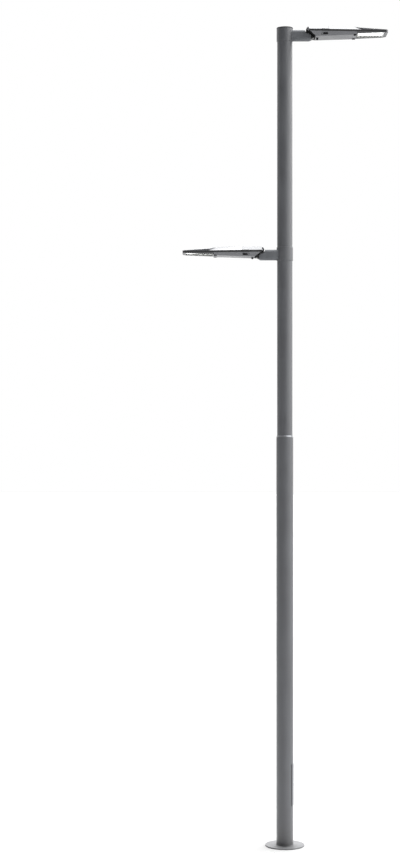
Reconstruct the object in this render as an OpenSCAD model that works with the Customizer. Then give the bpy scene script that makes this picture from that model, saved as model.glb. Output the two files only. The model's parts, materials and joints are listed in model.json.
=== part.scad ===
// Stepped street light pole with two tilting lamp heads on opposite sides:
// one on the top sleeve pointing along +X, one on a collar lower down pointing along -X.
// Origin: centre of the flange's underside. +Z runs up the pole. Millimetres.

/* [Pole] */
// Height of the top of the pole above its foot
pole_h = 8000; // [6500:50:10000]
// Height of the step between the two tubes
step_h = 4000; // [3000:50:5000]
// Outer diameter of the lower tube
lower_d = 165; // [161:1:200]
// Outer diameter of the upper tube
upper_d = 150; // [130:1:154]
// Wall thickness of both tubes
tube_wall = 4; // [3:0.5:5]
// Depth of the upper tube inside the lower one
socket_l = 300; // [200:10:500]
// Length of the bush that centres the upper tube
bush_l = 60; // [30:5:120]
// Height of the polished ring above the step
ring_h = 14; // [8:1:25]
// Wall thickness of the polished ring
ring_t = 2.5; // [1.5:0.5:3]
// Chamfer round the top of the lower tube
step_chamfer = 3; // [1:0.5:3.5]

/* [Base] */
// Diameter of the base flange
flange_d = 380; // [300:5:450]
// Thickness of the base flange
flange_t = 10; // [8:1:20]
// Diameter of the cable hole in the flange
cable_hole_d = 100; // [60:5:140]
// Leg of the weld round the foot of the tube
weld_leg = 5; // [3:0.5:8]
// Height of the top of the foot tube, the piece that carries the door
foot_h = 1000; // [950:50:1500]

/* [Access door] */
// Height of the door's lower edge
door_z = 400; // [300:10:900]
// Height of the door panel
door_h = 400; // [250:10:600]
// Angle of pole surface that the door covers
door_span = 80; // [60:1:90]
// Thickness of the door panel
door_t = 3; // [2:0.5:4]
// How far the door laps over each side of the cut-out
door_lap = 9; // [6:1:15]
// Corner radius of the cut-out
door_corner = 12; // [6:1:20]
// Radius of a door hinge knuckle
hinge_r = 4; // [3.5:0.5:6]
// Length of a door hinge knuckle
hinge_l = 24; // [16:1:30]
// Diameter of the lock's face
lock_d = 22; // [16:1:30]

/* [Head fixing] */
// Height of the lower lamp head below the top one
head_drop = 2146; // [1500:10:2600]
// Height of the top sleeve and of the mid collar
collar_h = 133; // [130:1:180]
// Wall thickness of the sleeve and the collar
collar_t = 5; // [4:0.5:10]
// Chamfer on the edges of the sleeve and the collar
collar_chamfer = 2; // [1:0.5:3]
// Thickness of the top cap's rim
cap_t = 8; // [5:1:12]
// Depth of the top cap's plug inside the tube
cap_plug = 30; // [15:5:60]

/* [Arm] */
// Width of the arm
arm_w = 100; // [88:1:110]
// Height of the arm
arm_h = 100; // [96:1:104]
// Corner radius of the arm's section
arm_r = 26; // [10:1:40]
// Height of the arm's underside above the collar's lower edge
arm_z = 7; // [4:1:12]
// Reach of the arm's level underside from the pole axis
arm_low_x = 235; // [205:1:240]
// Reach of the arm's end from the pole axis
arm_end_x = 252; // [246:1:254]
// Angle at which the underside rises to the arm's end
arm_rise = 26; // [10:1:28]

/* [Tilt hinge] */
// Distance of the hinge axis from the pole axis
pivot_x = 230; // [228:1:234]
// Height of the hinge axis above the collar's lower edge
pivot_z = 103; // [101:0.5:104]
// Radius of the hinge barrel
barrel_r = 25; // [20:0.5:26]
// Width of the hinge barrel that belongs to the knuckle
knuckle_w = 84; // [60:1:86]
// Length of the whole hinge barrel
barrel_l = 156; // [130:1:158]
// Thickness of the knuckle's strap over the arm's end
strap_t = 8; // [6:0.5:10]
// Radius of the hinge pin
pin_r = 8; // [6:0.5:10]
// Radius of the hinge pin's heads
pin_head_r = 12; // [10.5:0.5:13]
// Height of a pin head
pin_head_h = 4; // [2:0.5:8]
// Thickness of a lid lug
lug_t = 8; // [5:0.5:9]
// Radius of a lid lug
lug_r = 14; // [12:0.5:20]
// Reach of a lug's foot along the lid
lug_foot = 45; // [30:1:60]

/* [Head] */
// Reach of the head's tip from the pole axis
head_x = 1000; // [950:5:1100]
// Width of the head at the hinge
rear_w = 300; // [280:1:330]
// Width of the head at the front corners
front_w = 245; // [236:1:270]
// Width of the head's tip between its corner chamfers
tip_w = 208; // [180:1:220]
// Length of the corner chamfers at the tip
tip_chamfer = 15; // [5:1:30]
// Height of the vertical rim round the head
rim_h = 19; // [16:0.5:21]
// Height of the rim's lower edge at the hinge
rim_z_rear = 75.5; // [74:0.5:77]
// Height of the rim's lower edge at the tip
rim_z_tip = 68.5; // [68:0.5:70]
// Height of the underside at the hinge
under_z_rear = 30.5; // [26:0.5:33]
// Height that the underside's slope would reach at the tip
under_z_tip = 58; // [54:0.5:60]
// Width of the underside at the hinge
under_w_rear = 195; // [170:1:220]
// Width of the underside where it meets the lamp frame
under_w_front = 213; // [190:1:230]
// Height of the lamp frame's lower face at its rear edge
frame_z_rear = 55; // [51:0.5:58]
// Height of the lamp frame's lower face at the tip
frame_z_tip = 66; // [63:0.5:67]
// Inset of the lamp frame's lower face from the rim
frame_inset = 6; // [4:0.5:9]
// How far the tip slants back down to the lamp frame's lower face
tip_slant = 20; // [10:1:21]
// Angle of the head's slanted rear face
rear_angle = 36; // [34:1:38]
// Distance of the rear face behind the hinge axis
rear_back = 16; // [14:0.5:18]
// Wall thickness of the head's castings
head_wall = 3.5; // [2.5:0.5:5]
// Gap between pieces of the head's skin
seam = 1.5; // [0.5:0.5:3]

/* [Top covers] */
// Width of the flat top of the covers
top_w = 160; // [156:1:190]
// Height of the gear lid's top
lid_z = 133; // [132:0.5:138]
// Wall thickness of the gear lid
lid_wall = 3; // [2.5:0.5:3.5]
// Distance from the pole axis to the joint between lid and front cover
lid_x = 423; // [400:1:440]
// Step up from the lid to the front cover
cover_lip = 8; // [4:0.5:12]
// Height of the cover where its ridge ends
ridge_z = 125; // [120:0.5:128]
// Distance from the pole axis to the end of the ridge
ridge_x = 675; // [640:5:690]
// Distance from the pole axis to the front of the sloped sides
slope_x = 746; // [720:2:780]
// Height of the front deck's side edge behind the sloped sides
deck_z = 107; // [100:0.5:110]
// Height of the front deck at the tip
tip_z = 90.5; // [90:0.5:93]

/* [Lamp window] */
// Distance from the pole axis to the window's rear edge
window_x = 707; // [700:1:730]
// Length of the window
window_l = 262; // [230:1:264]
// Width of the window
window_w = 222; // [180:1:226]
// Height of the frame's ledge on which the level glass lies
glass_z = 71; // [70:0.5:73]
// Thickness of the glass
glass_t = 4; // [3:0.5:5]
// How far the frame laps under the glass
glass_lap = 5; // [3:0.5:6]
// Thickness of the lamp board
board_t = 2; // [1:0.5:3]

/* [Gear] */
// Length of the lamp driver
driver_l = 130; // [100:5:150]
// Width of the lamp driver
driver_w = 70; // [50:5:90]
// Height of the lamp driver
driver_h = 32; // [20:1:36]
// Gap between the driver's rear end and the foot of the rear wall
driver_gap = 60; // [50:1:70]

/* [Latches] */
// Length of a latch along the head
latch_l = 66; // [40:1:80]
// Thickness of a latch
latch_t = 4; // [3:0.5:6]
// Height of a latch's lower edge
latch_z = 66; // [62:1:72]
// Reach of a latch up the lid's slope
latch_lap = 28; // [15:1:40]

/* [Hidden] */
$fn = 96;

fit = 0.2;          // clearance between fixed pieces that slide together
running = 0.05;     // radial clearance round a pin
side_gap = 1;       // gap between neighbouring knuckles of a hinge
cut = 2;            // overrun of a cutting solid
far = 1500;         // length of a cutting solid that reaches past the head
slice_t = 1;        // thickness of the slices that shape the head
shave = 0.02;       // depth by which a cut passes a face that it would otherwise meet exactly

lower_r = lower_d / 2;
upper_r = upper_d / 2;
bush_r = lower_r - tube_wall - fit;
collar_r = upper_r + fit + collar_t;
top_z = pole_h - collar_h;
mid_z = top_z - head_drop;
socket_z = round((foot_h + step_h) / 2);                    // foot of the socket tube
upper_l = round((pole_h - cap_t - step_h + socket_l) / 3);  // length of an upper tube

door_in_r = lower_r + 0.4;
door_out_r = door_in_r + door_t;
door_half = door_span / 2;
lap_angle = door_lap / lower_r * 180 / PI;
cutout_half_w = lower_r * sin(door_half - lap_angle);
hinge_gap = 1.5;                // gap between the door's edge and a hinge knuckle
hinge_reach = door_out_r + 1;
hinge_turn = door_half + (hinge_r + hinge_gap) / hinge_reach * 180 / PI;
hinge_zs = [door_z + door_h * 0.15, door_z + door_h * 0.85];
hinge_pin_r = hinge_r / 2;
leaf_t = 3;                     // thickness of a hinge leaf
leaf_l = 5;                     // reach of a hinge leaf past its knuckle
pole_leaf_turn = 135;           // direction of the leaf that runs to the pole
door_leaf_turn = -100;          // direction of the leaf that runs to the door
lock_reach = 14;                // reach of the lock inside the tube
lock_rim = 2;                   // depth of the lock's face behind the door panel
lock_proud = 0.5;               // how far the lock's face stands out of the door
key_depth = 3;                  // depth of the three-sided key hole

tip_x = head_x - slice_t / 2;
head_l = tip_x - pivot_x;
front_x = tip_x - tip_chamfer;
frame_x = window_x - glass_lap - head_wall - 1;
under_angle = atan((under_z_tip - under_z_rear) / head_l);
rear_x = pivot_x - 3;           // rear end of the head's rim
wall_run = 70;                  // reach of the rear wall's foot past the hinge axis
lid_start = 2;                  // distance of the lid's rear edge past the hinge axis
lid_back = 9;                   // how far the lid's flat top runs back past its rear edge
deck_back = 35;                 // how far the deck's side edges run back into the ridge
latch_gap = 0.6;                // gap between a latch and the skin below it
web_drop = 13;                  // distance of the knuckle's web below the hinge axis
barrel_clear = 3;               // gap round the knuckle's barrel inside the housing
board_gap = 4;                  // gap between the glass and the lamp board
stud_w = 6;                     // width of the studs that hold the lamp board
nose_l = 60;                    // reach of the knuckle's nose past the arm's end
swing_gap = 5;                  // gap between the knuckle and the head's rear face
recess_r = barrel_r + 11;       // hollow in the arm's end in which the lid's rear edge swings

grey = [0.33, 0.34, 0.36];
black = [0.04, 0.04, 0.045];
steel = [0.75, 0.76, 0.77];

// Part of the way from a to b at distance x, where a is at the hinge and b at the tip.
function along(a, b, x) = a + (b - a) * (x - pivot_x) / head_l;
function rim_half(x) = rear_w / 2 + (front_w - rear_w) / 2 * (x - pivot_x) / (front_x - pivot_x);
function rim_low(x) = along(rim_z_rear, rim_z_tip, x);
function rim_top(x) = rim_low(x) + rim_h;
function wall_top(x, w) = rim_top(x) + (w > 0 ? cut : 0);
function cover_foot(x, w) = rim_top(x) + (w > 0 ? -cut : fit);
function under_z(x) = along(under_z_rear, under_z_tip, x);
function under_half(x) =
  (under_w_rear + (under_w_front - under_w_rear) * (x - pivot_x) / (frame_x - pivot_x)) / 2;
function frame_low(x) =
  frame_z_rear + (frame_z_tip - frame_z_rear) * (x - frame_x) / (tip_x - frame_x);

// Height of the arm's rising underside, and of the plane a distance d behind the knuckle's face.
function nose_z(x) = arm_z + (x - arm_low_x) * tan(arm_rise);
function strap_z(x, d) =
  pivot_z - (rear_back + swing_gap + d + (x - pivot_x) * sin(rear_angle)) / cos(rear_angle);

function cover_z(x) =
  lid_z + cover_lip + (ridge_z - lid_z - cover_lip) * (x - lid_x) / (ridge_x - lid_x);

// Half width of the front deck, whose side edges run from the ridge's end out to the rim.
function deck_half(x) =
  top_w / 2 + (rim_half(slope_x) - top_w / 2) * (x - ridge_x) / (slope_x - ridge_x);

latch_x = lid_x - seam / 2 - 2;                                 // front end of the latches
rim_turn = atan((rear_w - front_w) / 2 / (front_x - pivot_x));  // how far the rim turns in
rim_fall = atan((rim_z_rear - rim_z_tip) / head_l);             // how far the rim falls
slope_angle = atan((lid_z - rim_top(latch_x) - 1) / (rim_half(latch_x) - top_w / 2));

// A slice of the head across its length: points are [y, z] on the +Y side.
module slice(x, half) {
  translate([x - slice_t / 2, 0, 0]) rotate([90, 0, 90]) linear_extrude(slice_t)
    polygon(concat(half, [for (i = [len(half) - 1 : -1 : 0]) [-half[i][0], half[i][1]]]));
}

// Sector of a tube wall, centred on +X.
module sector(r_in, r_out, half, h) {
  reach = r_out + cut;
  intersection() {
    difference() {
      cylinder(r = r_out, h = h);
      translate([0, 0, -cut]) cylinder(r = r_in, h = h + 2 * cut);
    }
    translate([0, 0, -cut]) linear_extrude(h + 2 * cut)
      polygon([[0, 0], [reach, -reach * tan(half)], [reach, reach * tan(half)]]);
  }
}

module rounded_rect(w, h, r) {
  square([w - 2 * r, h], center = true);
  square([w, h - 2 * r], center = true);
  for (x = [-1, 1], y = [-1, 1])
    translate([x * (w / 2 - r), y * (h / 2 - r)]) circle(r);
}

// Solid that spans w across the head and has the outline below, seen from the side.
module side_plate(w) {
  rotate([90, 0, 0]) linear_extrude(w, center = true) children();
}

module across(r, l) {
  rotate([90, 0, 0]) cylinder(r = r, h = l, center = true);
}

module at_pivot() {
  translate([pivot_x, 0, pivot_z]) children();
}

// Places pieces on the level ledge in the lamp frame, from the window's rear edge.
module on_ledge() {
  translate([window_x, 0, glass_z]) children();
}

// Places pieces on the underside's own plane, with X along it from the window's rear edge.
module on_underside() {
  translate([window_x, 0, under_z(window_x)]) rotate([0, -under_angle, 0]) children();
}

// ---------- pole ----------

module base_flange() {
  color(grey) difference() {
    cylinder(d = flange_d, h = flange_t);
    translate([0, 0, -cut]) cylinder(d = cable_hole_d, h = flange_t + 2 * cut);
  }
}

module door_cutout() {
  translate([0, 0, door_z + door_h / 2]) rotate([90, 0, 90])
    linear_extrude(lower_r + cut)
      rounded_rect(2 * cutout_half_w, door_h - 2 * door_lap, door_corner);
}

// Foot of the lower tube, with the weld to the flange and the cut-out for the door.
module foot_tube() {
  color(grey) difference() {
    rotate_extrude() polygon([
      [lower_r - tube_wall, flange_t],
      [lower_r + weld_leg, flange_t],
      [lower_r, flange_t + weld_leg],
      [lower_r, foot_h],
      [lower_r - tube_wall, foot_h]
    ]);
    door_cutout();
  }
}

// Length of plain tube between two heights.
module tube(r, z0, z1) {
  color(grey) translate([0, 0, z0]) difference() {
    cylinder(r = r, h = z1 - z0);
    translate([0, 0, -cut]) cylinder(r = r - tube_wall, h = z1 - z0 + 2 * cut);
  }
}

module lower_tube() { tube(lower_r, foot_h, socket_z); }

// Head of the lower tube, in which the upper tube is seated.
module socket_tube() {
  color(grey) rotate_extrude() polygon([
    [lower_r - tube_wall, socket_z],
    [lower_r, socket_z],
    [lower_r, step_h - step_chamfer],
    [lower_r - step_chamfer, step_h],
    [lower_r - tube_wall, step_h]
  ]);
}

module step_tube() { tube(upper_r, step_h - socket_l, step_h - socket_l + upper_l); }
module upper_tube() { tube(upper_r, step_h - socket_l + upper_l, step_h - socket_l + 2 * upper_l); }
module top_tube() { tube(upper_r, step_h - socket_l + 2 * upper_l, pole_h - cap_t); }

module joint_bush() {
  color(grey) translate([0, 0, step_h - bush_l]) difference() {
    cylinder(r = bush_r, h = bush_l);
    translate([0, 0, -cut]) cylinder(r = upper_r + fit, h = bush_l + 2 * cut);
  }
}

module joint_ring() {
  color(steel) translate([0, 0, step_h]) difference() {
    cylinder(r = upper_r + fit + ring_t, h = ring_h);
    translate([0, 0, -cut]) cylinder(r = upper_r + fit, h = ring_h + 2 * cut);
  }
}

module collar(z, h) {
  color(grey) translate([0, 0, z]) rotate_extrude() polygon([
    [upper_r + fit, 0],
    [collar_r - collar_chamfer, 0],
    [collar_r, collar_chamfer],
    [collar_r, h - collar_chamfer],
    [collar_r - collar_chamfer, h],
    [upper_r + fit, h]
  ]);
}

module top_sleeve() { collar(top_z, collar_h - cap_t); }
module mid_collar() { collar(mid_z, collar_h); }

module top_cap() {
  color(grey) translate([0, 0, pole_h - cap_t]) {
    rotate_extrude() polygon([
      [0, 0],
      [collar_r - collar_chamfer, 0],
      [collar_r, collar_chamfer / 2],
      [collar_r, cap_t - collar_chamfer],
      [collar_r - collar_chamfer, cap_t],
      [0, cap_t]
    ]);
    translate([0, 0, -cap_plug]) cylinder(r = upper_r - tube_wall - fit, h = cap_plug + fit);
  }
}

// ---------- access door ----------

module hinge_axis() {
  rotate([0, 0, hinge_turn]) translate([hinge_reach, 0, 0]) children();
}

// Leaf from the pole or the door to a hinge knuckle.
module hinge_leaf(from_turn, l) {
  rotate([0, 0, hinge_turn]) translate([hinge_reach, 0, 0]) rotate([0, 0, from_turn])
    translate([0, -leaf_t / 2, 0]) cube([hinge_r + leaf_l, leaf_t, l]);
}

module door_hinges() {
  color(steel) for (z = hinge_zs) {
    hinge_axis() {
      translate([0, 0, z - hinge_l / 2]) cylinder(r = hinge_pin_r, h = hinge_l, $fn = 32);
      translate([0, 0, z - hinge_l / 2]) cylinder(r = hinge_r, h = hinge_l / 2 - side_gap, $fn = 32);
    }
    difference() {
      translate([0, 0, z - hinge_l / 2]) hinge_leaf(pole_leaf_turn, hinge_l / 2 - side_gap);
      translate([0, 0, z - hinge_l]) cylinder(r = lower_r + fit, h = 2 * hinge_l);
    }
  }
}

module access_door() {
  color(grey) difference() {
    union() {
      translate([0, 0, door_z]) sector(door_in_r, door_out_r, door_half, door_h);
      for (z = hinge_zs) {
        hinge_axis() translate([0, 0, z]) cylinder(r = hinge_r, h = hinge_l / 2, $fn = 32);
        intersection() {
          translate([0, 0, z]) hinge_leaf(door_leaf_turn, hinge_l / 2);
          cylinder(r = door_out_r + hinge_r, h = pole_h / 2);
        }
      }
    }
    hinge_axis() translate([0, 0, door_z]) cylinder(r = hinge_pin_r + running, h = door_h, $fn = 32);
    translate([0, 0, door_z + door_h / 2]) rotate([0, 90, 0])
      cylinder(d = lock_d + 2 * fit, h = door_out_r + cut);
  }
}

module door_lock() {
  shank_d = lock_d * 0.6;
  key_d = lock_d * 0.45;
  back_x = lower_r - tube_wall - lock_reach;
  color(steel) translate([0, 0, door_z + door_h / 2]) rotate([0, 90, 0]) difference() {
    union() {
      translate([0, 0, back_x]) cylinder(d = shank_d, h = door_out_r - back_x);
      translate([0, 0, door_in_r - lock_rim]) cylinder(d = lock_d, h = door_t + lock_rim + lock_proud);
    }
    translate([0, 0, door_out_r - key_depth]) cylinder(d = key_d, h = 2 * key_depth, $fn = 3);
  }
}

// ---------- head: arm and hinge ----------

module arm() {
  top = arm_z + arm_h;
  color(grey) difference() {
    intersection() {
      translate([0, 0, arm_z + arm_h / 2]) rotate([90, 0, 90]) linear_extrude(arm_end_x)
        rounded_rect(arm_w, arm_h, arm_r);
      side_plate(arm_w + cut) polygon([
        [0, arm_z],
        [arm_low_x, arm_z],
        [arm_end_x, nose_z(arm_end_x)],
        [arm_end_x, strap_z(arm_end_x, strap_t)],
        [pivot_x, strap_z(pivot_x, strap_t)],
        [pivot_x, top],
        [0, top]
      ]);
    }
    translate([0, 0, -cut]) cylinder(r = collar_r + fit, h = collar_h + 2 * cut);
    at_pivot() across(recess_r, arm_w + cut);
  }
}

// Block on the arm's end that carries the hinge: its front face keeps clear of the head's rear face.
module knuckle() {
  strap_x = pivot_x + fit;
  nose_x = arm_end_x + fit;
  tip = nose_x + nose_l;
  color(black) difference() {
    union() {
      difference() {
        union() {
          at_pivot() across(recess_r - fit, knuckle_w);
          side_plate(knuckle_w) polygon([
            [strap_x, strap_z(strap_x, strap_t - fit)],
            [nose_x, strap_z(nose_x, strap_t - fit)],
            [nose_x, nose_z(nose_x)],
            [tip, nose_z(tip)],
            [tip, pivot_z],
            [strap_x, pivot_z]
          ]);
        }
        at_pivot() rotate([0, rear_angle, 0]) translate([-far / 2, -far / 2, -rear_back - swing_gap])
          cube([far, far, far]);
        at_pivot() translate([-far / 2, -far / 2, -web_drop]) cube([far, far, far]);
      }
      at_pivot() across(barrel_r, knuckle_w);
    }
    at_pivot() across(pin_r + running, knuckle_w + cut);
  }
}

module hinge_pin() {
  color(steel) at_pivot() {
    across(pin_r, barrel_l + 1);
    for (s = [-1, 1]) translate([0, s * (barrel_l + 1 + pin_head_h) / 2, 0]) across(pin_head_r, pin_head_h);
  }
}

// ---------- head: castings ----------

// Lower body of the head behind the lamp frame, with its walls moved in and its floor up by w.
module rear_body(w) {
  hull() for (x = [rear_x + w, frame_x])
    body_slice(x, w, rim_half(x), under_half(x), under_z(x) + w);
}

// Lower body of the head round the lamps, with its walls moved in and its floor up by w.
module frame_body(w) {
  hull() {
    body_slice(frame_x, w, rim_half(frame_x), rim_half(frame_x) - frame_inset, frame_low(frame_x) + w);
    rim_slice(front_x - w, w, front_w / 2);
    rim_slice(tip_x - w, w, tip_w / 2);
    foot_slice(front_x - tip_slant - w, w, front_w / 2 - frame_inset);
    foot_slice(tip_x - tip_slant - w, w, tip_w / 2 - frame_inset);
  }
}

module body_slice(x, w, rim, under, low) {
  slice(x, [
    [under - w, low],
    [rim - w, rim_low(x) + min(w, 1)],
    [rim - w, wall_top(x, w)]
  ]);
}

module rim_slice(x, w, rim) {
  slice(x, [[rim - w, rim_low(x) + min(w, 1)], [rim - w, wall_top(x, w)]]);
}

module foot_slice(x, w, foot) {
  slice(x, [[foot - w, frame_low(x) + w], [foot - w, frame_low(x) + w + slice_t]]);
}

// Everything behind the slanted rear face moved in by w.
module behind_rear_face(w) {
  at_pivot() rotate([0, rear_angle, 0]) translate([-far / 2, -far / 2, -far - rear_back + w])
    cube([far, far, far]);
}

module ahead_of(x) {
  translate([x, -far / 2, -far / 2]) cube([far, far, far]);
}

module housing() {
  inner_l = knuckle_w + 2 * (lug_t + 2 * side_gap);
  color(grey) difference() {
    union() {
      difference() {
        rear_body(0);
        behind_rear_face(0);
        difference() {
          rear_body(head_wall);
          behind_rear_face(head_wall);
          ahead_of(frame_x - seam - head_wall);
        }
        translate([-far / 2, -far / 2, rim_z_rear + rim_h - shave]) cube([far, far, far]);
        ahead_of(frame_x - seam);
      }
      difference() {
        at_pivot() across(barrel_r, barrel_l);
        at_pivot() across(barrel_r + cut, inner_l);
      }
    }
    at_pivot() across(pin_r + running, barrel_l + cut);
    at_pivot() across(barrel_r + barrel_clear, inner_l);
    pin_recess();
  }
}

// Room round the pin's heads, in the rear wall and the ends of the hinge barrels.
module pin_recess() {
  at_pivot() difference() {
    across(pin_head_r + side_gap, barrel_l + 2 * (pin_head_h + cut));
    across(pin_head_r + cut, barrel_l - side_gap);
  }
}

module lamp_frame() {
  color(grey) difference() {
    frame_body(0);
    difference() {
      frame_body(head_wall);
      translate([frame_x + head_wall - far, -far / 2, -far / 2]) cube([far, far, far]);
      translate([-far / 2, -far / 2, glass_z - far]) cube([far, far, far]);
    }
    translate([frame_x - far, -far / 2, -far / 2]) cube([far, far, far]);
    on_ledge() translate([0, -window_w / 2, -far / 2]) cube([window_l, window_w, far]);
  }
}

module glass() {
  color([0.95, 0.97, 1.0]) on_ledge()
    translate([-glass_lap, -window_w / 2 - glass_lap, fit])
      cube([window_l + 2 * glass_lap, window_w + 2 * glass_lap, glass_t]);
}

module lamp_board() {
  margin = 12;
  z = fit + glass_t;
  color([0.9, 0.9, 0.88]) on_ledge() {
    translate([margin, -window_w / 2 + margin, z + board_gap])
      cube([window_l - 2 * margin, window_w - 2 * margin, board_t]);
    for (x = [margin, window_l - margin - stud_w], y = [-1, 1])
      translate([x, y * (window_w - 2 * margin - stud_w) / 2 - stud_w / 2, z])
        cube([stud_w, stud_w, board_gap]);
  }
}

// Cover over the rear body, with its walls moved in by w and its ends moved out by e.
module ridge_body(w, e) {
  hull() {
    cover_slice(lid_x + (seam + slice_t) / 2 - e, w);
    cover_slice(ridge_x - w, w);
    slice(slope_x - 2 * w, [
      [rim_half(slope_x) - w, cover_foot(slope_x, w)],
      [rim_half(slope_x) - w, cover_foot(slope_x, w) + 0.5]
    ]);
  }
}

module cover_slice(x, w) {
  slice(x, [
    [rim_half(x) - w, cover_foot(x, w)],
    [rim_half(x) - w, rim_top(x) + 1],
    [top_w / 2 - w / 2, cover_z(x) - w]
  ]);
}

// Flat front deck: it widens forward out of the ridge and then has upright sides down to the rim.
module deck_body(w) {
  back_x = ridge_x - deck_back;
  hull() {
    deck_slice(back_x, deck_half(back_x) - w, cover_foot(back_x, w), cover_z(back_x) - w);
    deck_slice(ridge_x, top_w / 2 - w, cover_foot(ridge_x, w), ridge_z - w);
    deck_slice(slope_x, rim_half(slope_x) - w, cover_foot(slope_x, w), deck_z - w);
    deck_slice(front_x - w, front_w / 2 - w, cover_foot(front_x, w), tip_z + 1.5 - w);
    deck_slice(tip_x - w, tip_w / 2 - w, cover_foot(tip_x, w), tip_z - w);
  }
}

module deck_slice(x, half, foot, z) {
  slice(x, [[half, foot], [half, z]]);
}

module front_cover() {
  color(grey) difference() {
    union() {
      ridge_body(0, 0);
      deck_body(0);
    }
    ridge_body(head_wall, 0);
    deck_body(head_wall);
  }
}

module gear_lid() {
  lug_y = knuckle_w / 2 + side_gap;
  color(grey) difference() {
    union() {
      difference() {
        lid_shape(0, 0);
        lid_shape(lid_wall, cut + 3);
      }
      for (s = [-1, 1]) translate([0, s * (lug_y + lug_t / 2), 0]) {
        at_pivot() across(lug_r, lug_t);
        side_plate(lug_t) polygon([
          [pivot_x - lug_r / 3, pivot_z],
          [pivot_x + lug_r / 3, lid_z - 1],
          [pivot_x + lug_foot, lid_z - 1],
          [pivot_x + lug_r - 1, pivot_z - lug_r / 3]
        ]);
      }
    }
    at_pivot() across(pin_r + running, barrel_l);
  }
}

module lid_shape(w, e) {
  x0 = pivot_x + lid_start - e;
  x1 = lid_x - seam / 2 + e;
  hull() {
    slice(x0 - lid_back, [
      [top_w / 2 - w / 2, lid_z - w - slice_t],
      [top_w / 2 - w / 2, lid_z - w]
    ]);
    for (x = [x0, x1]) slice(x, [
      [rim_half(x) - w, cover_foot(x, w)],
      [rim_half(x) - w, rim_top(x) + 1],
      [top_w / 2 - w / 2, lid_z - w]
    ]);
  }
}

module driver() {
  wall_foot = pivot_x + wall_run;
  color([0.85, 0.85, 0.82]) on_underside()
    translate([wall_foot + driver_gap - window_x, -driver_w / 2, head_wall])
      cube([driver_l, driver_w, driver_h]);
}

// Places pieces on the lid's rim, with X along the rim to the front, Y out and Z up from its edge.
module on_rim() {
  translate([latch_x, rim_half(latch_x), rim_top(latch_x) + 1])
    rotate([0, 0, -rim_turn]) rotate([0, rim_fall, 0]) children();
}

// Point on the lid's slope moved out by g, at a distance d up from the rim.
function on_slope(g, d) =
  [g * sin(slope_angle) - d * cos(slope_angle), g * cos(slope_angle) + d * sin(slope_angle)];

// Point where the lid's side and slope, both moved out by g, meet.
function on_bend(g) = [g, g * (1 - sin(slope_angle)) / cos(slope_angle)];

// Clip plate that hangs from the lid's slope, over the rim and clear of the side below it.
module latch(side) {
  low = latch_z - rim_top(latch_x) - 1;
  outer = latch_gap + latch_t;
  mirror([0, side < 0 ? 1 : 0, 0]) on_rim() color(grey)
    translate([-latch_l, 0, 0]) rotate([90, 0, 90]) linear_extrude(latch_l) polygon([
      [latch_gap, low],
      [outer, low],
      on_bend(outer),
      on_slope(outer, latch_lap),
      on_slope(latch_gap, latch_lap),
      on_bend(latch_gap)
    ]);
}

// ---------- placing ----------

module at_top() { translate([0, 0, top_z]) children(); }
module at_mid() { translate([0, 0, mid_z]) rotate([0, 0, 180]) children(); }

base_flange();
foot_tube();
lower_tube();
socket_tube();
joint_bush();
joint_ring();
step_tube();
upper_tube();
top_tube();
top_sleeve();
top_cap();
mid_collar();
door_hinges();
access_door();
door_lock();
at_top() arm();  // top_arm
at_top() knuckle();  // top_knuckle
at_top() hinge_pin();  // top_hinge_pin
at_top() housing();  // top_housing
at_top() lamp_frame();  // top_lamp_frame
at_top() glass();  // top_glass
at_top() lamp_board();  // top_lamp_board
at_top() front_cover();  // top_front_cover
at_top() driver();  // top_driver
at_top() gear_lid();  // top_gear_lid
at_top() latch(1);  // top_left_latch
at_top() latch(-1);  // top_right_latch
at_mid() arm();  // mid_arm
at_mid() knuckle();  // mid_knuckle
at_mid() hinge_pin();  // mid_hinge_pin
at_mid() housing();  // mid_housing
at_mid() lamp_frame();  // mid_lamp_frame
at_mid() glass();  // mid_glass
at_mid() lamp_board();  // mid_lamp_board
at_mid() front_cover();  // mid_front_cover
at_mid() driver();  // mid_driver
at_mid() gear_lid();  // mid_gear_lid
at_mid() latch(1);  // mid_left_latch
at_mid() latch(-1);  // mid_right_latch
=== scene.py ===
import json
import math

import bmesh
import bpy
from mathutils import Matrix, Vector

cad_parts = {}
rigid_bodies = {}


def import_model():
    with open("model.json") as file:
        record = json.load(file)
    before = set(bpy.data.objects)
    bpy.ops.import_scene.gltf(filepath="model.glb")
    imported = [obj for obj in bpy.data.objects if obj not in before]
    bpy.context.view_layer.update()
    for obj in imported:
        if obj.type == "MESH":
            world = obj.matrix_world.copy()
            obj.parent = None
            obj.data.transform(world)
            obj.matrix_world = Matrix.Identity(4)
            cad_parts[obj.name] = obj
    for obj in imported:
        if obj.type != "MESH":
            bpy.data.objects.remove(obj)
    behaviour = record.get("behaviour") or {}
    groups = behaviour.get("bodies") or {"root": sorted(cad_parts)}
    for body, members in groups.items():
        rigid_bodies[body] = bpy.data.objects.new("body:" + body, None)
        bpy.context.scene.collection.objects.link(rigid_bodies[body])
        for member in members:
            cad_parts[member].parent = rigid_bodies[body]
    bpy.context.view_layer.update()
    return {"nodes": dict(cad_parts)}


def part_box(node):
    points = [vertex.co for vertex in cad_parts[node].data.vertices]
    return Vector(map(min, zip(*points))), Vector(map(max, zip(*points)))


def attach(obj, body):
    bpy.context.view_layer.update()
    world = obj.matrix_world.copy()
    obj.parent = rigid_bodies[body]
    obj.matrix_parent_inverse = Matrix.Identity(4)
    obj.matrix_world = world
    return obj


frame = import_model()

# Stepped street light pole: finishes, fittings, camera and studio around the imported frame.
# Sizes are in millimetres. A head's own places run from the pole's axis out along its arm,
# and up from the lower edge of the sleeve or collar that carries it.

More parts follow.
